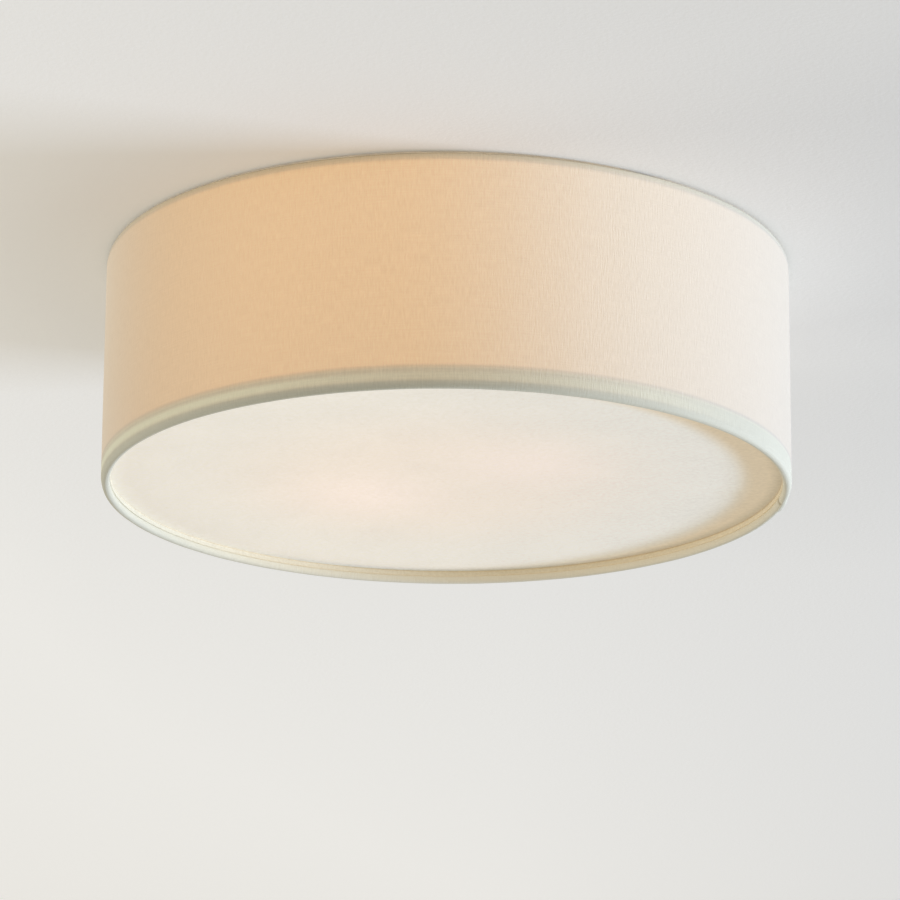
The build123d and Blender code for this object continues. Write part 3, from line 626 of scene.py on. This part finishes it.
# ------------------------------------------------------------------ diffuser
def diffuser_material(colours):
    """Cast acrylic, sanded on both faces: matt and finely mottled, with two soft spots under the bulbs.

    The spots are painted lamp light, the fall to one side is painted light falling off, and the rim's shade
    is a painted shadow; all of them turn with the shade.
    """
    material, tree, shader = new_material("frosted_acrylic", Roughness=0.62, IOR=1.49, Emission_Strength=1.0)
    shader.inputs["Specular IOR Level"].default_value = 0.2
    mottle = grain(tree, 2.8, detail=4.0)
    cloud = grain(tree, 38.0, detail=2.0)
    both = calculated(tree, "ADD", calculated(tree, "MULTIPLY", mottle, 0.75),
                      calculated(tree, "MULTIPLY", cloud, 0.25))
    tone = add_node(tree, "ShaderNodeMapRange", sockets={
        "Value": both, "From Min": 0.3, "From Max": 0.7, "To Min": 0.935, "To Max": 1.065}).outputs["Result"]
    raised(tree, shader, mottle, 0.12)
    place = add_node(tree, "ShaderNodeTexCoord").outputs["Object"]
    axes = add_node(tree, "ShaderNodeSeparateXYZ", sockets={0: place})
    from_bulb = calculated(tree, "SUBTRACT", calculated(tree, "ABSOLUTE", axes.outputs["X"]), GLOBE_X * MM)
    squares = calculated(tree, "ADD", calculated(tree, "MULTIPLY", from_bulb, from_bulb),
                         calculated(tree, "MULTIPLY", axes.outputs["Y"], axes.outputs["Y"]))
    spread = 0.030  # standard deviation of each spot, in metres
    spot = calculated(tree, "EXPONENT", calculated(tree, "MULTIPLY", squares, -0.5 / spread**2))
    outward = add_node(tree, "ShaderNodeCombineXYZ", sockets={
        "X": axes.outputs["X"], "Y": axes.outputs["Y"]}).outputs["Vector"]
    from_axis = add_node(tree, "ShaderNodeVectorMath", {"operation": "LENGTH"}, {0: outward}).outputs["Value"]
    share = add_node(tree, "ShaderNodeMapRange", {"interpolation_type": "SMOOTHSTEP"}, {
        "Value": from_axis, "From Min": 0.05, "From Max": 0.17}).outputs["Result"]
    # The lamps' light through the diffuser is painted on as emission: even, paler near the rim, with two
    # spots under the bulbs.
    glow = tuple(colours.diffuser_glow)
    even = blended(tree, share, glow, tuple(colours.rim_glow))
    spot_glow = (glow[0] * 1.14, glow[1] * 1.13, glow[2] * 1.35)
    lit = blended(tree, spot, even, spot_glow)
    turned = add_node(tree, "ShaderNodeMapping", sockets={
        "Vector": outward, "Rotation": (0, 0, -CAMERA_AZIMUTH)}).outputs["Vector"]
    across = add_node(tree, "ShaderNodeSeparateXYZ", sockets={0: turned}).outputs["X"]
    # Painted light: the glow falls off towards the window's side.
    fall = add_node(tree, "ShaderNodeMapRange", {"interpolation_type": "SMOOTHSTEP"}, {
        "Value": across, "From Min": -0.08, "From Max": 0.2, "To Min": 1.0, "To Max": 0.74}).outputs["Result"]
    # Painted shadow of the rim on the window's side: the rim's circle, moved 24 mm away from there.
    moved = add_node(tree, "ShaderNodeVectorMath", {"operation": "ADD"}, {
        0: outward, 1: RIM_SHADE_SHIFT}).outputs["Vector"]
    from_moved = add_node(tree, "ShaderNodeVectorMath", {"operation": "LENGTH"}, {0: moved}).outputs["Value"]
    shade = add_node(tree, "ShaderNodeMapRange", {"interpolation_type": "SMOOTHSTEP"}, {
        "Value": from_moved, "From Min": 0.189, "From Max": 0.203}).outputs["Result"]
    # Painted shade: the glow dims at the diffuser's rim, most on the far side.
    painted_rim_shade = add_node(tree, "ShaderNodeMapRange", {"interpolation_type": "SMOOTHSTEP"}, {
        "Value": from_axis, "From Min": 0.186, "From Max": 0.195}).outputs["Result"]
    painted_rim_shade = calculated(tree, "SUBTRACT", 1.0, calculated(
        tree, "MULTIPLY", painted_rim_shade, toward(tree, (0.26, 0.97, 0.0), -0.05, 0.1, 0.1, 0.6)))
    # The base colour is painted a darker, warmer tan in the rim's painted shadow.
    base = add_node(tree, "ShaderNodeVectorMath", {"operation": "SCALE"}, {
        0: blended(tree, shade, tuple(colours.diffuser), linear("#D4CDBC")), "Scale": tone})
    feed(tree, shader, "Base Color", base.outputs[0])
    level = calculated(tree, "MULTIPLY", calculated(tree, "MULTIPLY", tone, fall), painted_rim_shade)
    lit = add_node(tree, "ShaderNodeVectorMath", {"operation": "SCALE"}, {0: lit, "Scale": level})
    feed(tree, shader, "Emission Color", lit.outputs[0])
    return material


class CEILING_LIGHT_OT_diffuser(bpy.types.Operator):
    """Finishes the diffuser"""
    bl_idname = "ceiling_light.diffuser"
    bl_label = "Diffuser"

    def execute(self, context):
        finish_node(diffuser_material(context.scene.ceiling_light_colours), "diffuser_panel")
        return {"FINISHED"}


# ------------------------------------------------------------------ bulbs and lampholders
def screw_shell(name, ends, middle, swing, wall, sides):
    """Thin screw shell along X, its thread a helix of 3.629 mm pitch.

    The radius is middle + swing * fade * sin(distance / pitch - turn), where fade takes the thread in and out
    at both ends. The section goes out along the outer face and back along the inner one.
    """
    pitch = 3.629
    start, end = ends
    along = np.linspace(start, end, 72)
    turn = np.linspace(0, tau, 96, endpoint=False)
    fade = smooth_step(along, start + 1.5, start + 4) * (1 - smooth_step(along, end - 5, end - 2.5))
    thread = np.sin(tau * along[None, :] / pitch - turn[:, None]) * fade[None, :] * swing
    outer, inner = middle + thread + wall / 2, middle + thread - wall / 2
    radius = np.concatenate([outer, inner[:, ::-1]], axis=1)
    distance = np.concatenate([along, along[::-1]])
    x = sides * (CONTACT_X - distance[None, :] + 0 * radius)
    y = sides * radius * np.cos(turn)[:, None]
    z = LAMP_Z + radius * np.sin(turn)[:, None]
    return surface(name, np.stack([x, y, z], axis=-1), closed=(True, True))


def opal_material():
    """Opal glass over a warm lamp: even, soft and bright, darker near the housing."""
    material, tree, shader = new_material("opal_glass", Roughness=0.3, IOR=1.5, Emission_Strength=1.0)
    pattern = grain(tree, 9.0)
    feed(tree, shader, "Base Color", blended(tree, pattern, linear("#F4F1EA"), linear("#EDE8DD")))
    place = add_node(tree, "ShaderNodeTexCoord").outputs["Object"]
    axes = add_node(tree, "ShaderNodeSeparateXYZ", sockets={0: place})
    near = add_node(tree, "ShaderNodeMapRange", sockets={
        "Value": calculated(tree, "ABSOLUTE", axes.outputs["X"]), "From Min": 0.035, "From Max": 0.074})
    feed(tree, shader, "Emission Color",
         blended(tree, near.outputs["Result"], GLOBE_LIGHT, GLOBE_LIGHT_BY_HOUSING))
    return material


class CEILING_LIGHT_OT_lamps(bpy.types.Operator):
    """Makes the threaded shells and finishes the bulbs, lampholders and their brackets"""
    bl_idname = "ceiling_light.lamps"
    bl_label = "Bulbs and lampholders"

    def execute(self, context):
        # Nickel plated brass, rolled into a thread: bright, a little yellow, worn dull where it has turned.
        nickel = plain_finish("nickel_plated_brass_shell", "#C9C6BC", "#B5B0A2", (0.18, 0.36), 2.2,
                              (0.3, 1, 1), 0.01, Metallic=1.0)
        # Drawn brass, left bare: warm, with a light brown tarnish in patches.
        brass = plain_finish("drawn_brass", "#D2B06A", "#B58F4C", (0.22, 0.4), 3.0, depth=0.01, Metallic=1.0)
        # White glazed porcelain: thick glossy glaze with a slow ripple over a matt body.
        porcelain = plain_finish("glazed_porcelain", "#F1EEE6", "#E9E5DA", (0.1, 0.16), 7.0, depth=0.05,
                                 IOR=1.54, Coat_Weight=0.6, Coat_Roughness=0.05)
        # Zinc plated and passivated steel strip: grey, faintly blue, drawn lines along the strip.
        zinc = plain_finish("zinc_plated_steel", "#B9BDC1", "#A2A6AB", (0.28, 0.42), 0.9, (1, 8, 8), 0.008,
                            Metallic=1.0)
        # Moulded polycarbonate housing: white, satin, very fine spark texture.
        housing = plain_finish("white_polycarbonate", "#ECEAE4", "#E6E3DB", (0.38, 0.46), 0.5, depth=0.01,
                               IOR=1.58)
        # Black pressed glass insulator: deep, glossy, with a slight ripple.
        insulator = plain_finish("black_pressed_glass", "#0E0D0D", "#171515", (0.08, 0.16), 2.0, depth=0.02,
                                 IOR=1.52)
        opal = opal_material()
        for side, way in (("right", 1), ("left", -1)):
            base = screw_shell(f"{side}_base_thread", (5.2, 25.8), 12.45, 0.38, 0.3, way)
            joined(base, f"{side}_bulb_travel", "nickel_plated_base", nickel, f"{side}_bulb_base")
            shell = screw_shell(f"{side}_shell_thread", (0.9, 24.0), 13.6, 0.13, 0.4, way)
            joined(shell, "ceiling_side", "brass_shell", brass, f"{side}_socket_shell")
            finish_node(brass, f"{side}_socket_contact")
            finish_node(porcelain, f"{side}_lampholder")
            finish_node(zinc, f"{side}_socket_bracket")
            finish_node(housing, f"{side}_bulb_neck")
            finish_node(insulator, f"{side}_bulb_tip")
            finish_node(opal, f"{side}_bulb_globe")
        return {"FINISHED"}


# ------------------------------------------------------------------ ceiling side
def fibre_pad():
    """Glass fibre pad: the CAD disc remeshed, its top and edges puffed and combed into soft lumps.

    Each point moves along the surface's normal by three crossing waves and a finer random tuft, at most
    0.5 mm, and the face that lies on the pan stays flat.
    """
    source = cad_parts["insulation_pad"]
    mesh = source.data.copy()
    shape = bmesh.new()
    shape.from_mesh(mesh)
    bmesh.ops.remove_doubles(shape, verts=shape.verts, dist=1e-6)
    shape.to_mesh(mesh)
    shape.free()
    piece = bpy.data.objects.new("fibre_pad", mesh)
    bpy.context.scene.collection.objects.link(piece)
    remesh = piece.modifiers.new("even", "REMESH")
    remesh.mode, remesh.voxel_size = "VOXEL", 1.5 * MM
    soften = piece.modifiers.new("soften", "SMOOTH")
    soften.factor, soften.iterations = 0.5, 4
    evaluated = piece.evaluated_get(bpy.context.evaluated_depsgraph_get())
    piece.data = bpy.data.meshes.new_from_object(evaluated)
    piece.modifiers.clear()
    mesh = piece.data
    mesh.name = "fibre_pad"
    count = len(mesh.vertices)
    place, normal = np.empty(count * 3), np.empty(count * 3)
    mesh.vertices.foreach_get("co", place)
    mesh.vertices.foreach_get("normal", normal)
    place, normal = place.reshape(-1, 3) / MM, normal.reshape(-1, 3)
    x, y, z = place.T
    tuft = np.random.default_rng(5).uniform(-1, 1, count)
    lumps = np.sin(x / 9 + 1.7 * np.sin(y / 23)) + np.sin(y / 7 + 1.3 * np.sin(x / 19)) + np.sin((x + y) / 5)
    free = smooth_step(z, z.min() + 0.8, z.min() + 3)
    push = (0.11 * lumps + 0.1 * tuft - 0.2) * free
    place += push[:, None] * normal
    mesh.vertices.foreach_set("co", (place * MM).ravel())
    mesh.polygons.foreach_set("use_smooth", np.ones(len(mesh.polygons), bool))
    mesh.update()
    return piece


def fibre_material():
    """Bonded glass fibre: pale yellow, matt, with fine crossing fibres drawn coarser than they are."""
    material, tree, shader = new_material("glass_fibre", Roughness=0.95, Sheen_Weight=0.3)
    one_way, other_way = grain(tree, 0.8, (9, 1, 1)), grain(tree, 0.8, (1, 9, 1))
    fibres = calculated(tree, "MULTIPLY", one_way, other_way)
    share = add_node(tree, "ShaderNodeMapRange", sockets={
        "Value": fibres, "From Min": 0.14, "From Max": 0.36}).outputs["Result"]
    feed(tree, shader, "Base Color", blended(tree, share, linear("#C9BE97"), linear("#EDE5C6")))
    raised(tree, shader, fibres, 0.4)
    return material


class CEILING_LIGHT_OT_mounting(bpy.types.Operator):
    """Makes the fibre pad and finishes the pan, the crossbar and the fasteners"""
    bl_idname = "ceiling_light.mounting"
    bl_label = "Pan, crossbar and fasteners"

    def execute(self, context):
        pad = fibre_pad()
        joined(pad, "ceiling_side", "glass_fibre_pad", fibre_material(), "insulation_pad")
        # Stoved white enamel on spun steel: smooth half gloss with orange peel and faint spinning rings.
        enamel = plain_finish("stoved_enamel", "#EFEDE7", "#E8E6DF", (0.28, 0.36), 1.8, depth=0.03, IOR=1.5,
                              Coat_Weight=0.25, Coat_Roughness=0.15)
        finish_node(enamel, "ceiling_pan")
        zinc = plain_finish("zinc_plated_strip", "#B9BDC1", "#A2A6AB", (0.28, 0.42), 0.9, (1, 10, 1), 0.008,
                            Metallic=1.0)
        finish_node(zinc, "crossbar", "ground_ring")
        # Bright zinc on turned screws and nuts: cooler and shinier than the strip, with fine tool marks.
        bright = plain_finish("bright_zinc", "#C6CACE", "#B0B4BA", (0.2, 0.34), 0.35, (6, 6, 1), 0.006,
                              Metallic=1.0)
        finish_node(bright, "crossbar_studs", "stud_nuts", "hanger_screws", "hanger_nuts", "bracket_screws",
                    "holder_screws", "block_screws")
        # Green lacquer over zinc, as ground screws have: thin and glossy, showing the metal under it.
        green = plain_finish("green_lacquered_zinc", "#2E7A46", "#226236", (0.24, 0.36), 0.8, depth=0.01,
                             Metallic=0.55, Coat_Weight=0.5, Coat_Roughness=0.12)
        finish_node(green, "ground_screw")
        # Nickel plate on a knurled brass nut: bright and slightly yellow, with fine turning lines.
        nickel = plain_finish("nickel_plated_brass", "#D3CFC4", "#BDB8AB", (0.14, 0.28), 0.3, (8, 8, 1),
                              0.006, Metallic=1.0)
        finish_node(nickel, "cap_nuts")
        return {"FINISHED"}


class CEILING_LIGHT_OT_wiring(bpy.types.Operator):
    """Finishes the terminal block, the bushings and the leads"""
    bl_idname = "ceiling_light.wiring"
    bl_label = "Wiring"

    def execute(self, context):
        # Moulded polyamide: natural white, satin, slightly waxy.
        polyamide = plain_finish("natural_polyamide", "#E9E5D6", "#E0DBCA", (0.4, 0.5), 0.7, depth=0.02,
                                 IOR=1.53, Subsurface_Weight=0.15, Subsurface_Scale=0.002)
        finish_node(polyamide, "terminal_block")
        brass = plain_finish("turned_brass", "#D6B368", "#BC944C", (0.2, 0.34), 0.4, (5, 5, 1), 0.006,
                             Metallic=1.0)
        finish_node(brass, "terminal_screws")
        # Black nylon: satin, with a faint moulding texture.
        nylon = plain_finish("black_nylon", "#1B1B1C", "#262627", (0.36, 0.46), 0.6, depth=0.01, IOR=1.53)
        finish_node(nylon, "lead_bushings")
        # Extruded PVC insulation: smooth half gloss, slightly uneven along its length.
        for name, light, dark, leads in (
            ("black_pvc", "#1C1B1B", "#282626", ("right_line_lead", "left_line_lead")),
            ("white_pvc", "#E8E5DD", "#DDD9CF", ("right_neutral_lead", "left_neutral_lead")),
            ("green_pvc", "#2C7D3E", "#236A33", ("ground_lead",)),
        ):
            finish_node(plain_finish(name, light, dark, (0.3, 0.42), 1.6, depth=0.02, IOR=1.53), *leads)
        return {"FINISHED"}


# ------------------------------------------------------------------ panel and main
OPERATORS = (
    CEILING_LIGHT_OT_stage,
    CEILING_LIGHT_OT_shade,
    CEILING_LIGHT_OT_diffuser,
    CEILING_LIGHT_OT_lamps,
    CEILING_LIGHT_OT_mounting,
    CEILING_LIGHT_OT_wiring,
)


class CEILING_LIGHT_PT_panel(bpy.types.Panel):
    """Lists the light's sizes, colours and pieces"""
    bl_idname = "CEILING_LIGHT_PT_panel"
    bl_label = "Ceiling Light"
    bl_space_type = "VIEW_3D"
    bl_region_type = "UI"
    bl_category = "Ceiling Light"

    def draw(self, context):
        scene = context.scene
        for group in (scene.ceiling_light_sizes, scene.ceiling_light_colours, scene.ceiling_light_studio):
            column = self.layout.column()
            for name in group.__annotations__:
                column.prop(group, name)
        for operator in OPERATORS:
            self.layout.operator(operator.bl_idname)


GROUPS = {
    "ceiling_light_sizes": CeilingLightSizes,
    "ceiling_light_colours": CeilingLightColours,
    "ceiling_light_studio": CeilingLightStudio,
}


def register():
    for cls in (*GROUPS.values(), *OPERATORS, CEILING_LIGHT_PT_panel):
        bpy.utils.register_class(cls)
    for name, group in GROUPS.items():
        setattr(bpy.types.Scene, name, PointerProperty(type=group))


def unregister():
    for name in GROUPS:
        delattr(bpy.types.Scene, name)
    for cls in (CEILING_LIGHT_PT_panel, *reversed(OPERATORS), *GROUPS.values()):
        bpy.utils.unregister_class(cls)


def main():
    register()
    for operator in OPERATORS:
        group, name = operator.bl_idname.split(".")
        getattr(getattr(bpy.ops, group), name)()


if __name__ == "__main__":
    main()
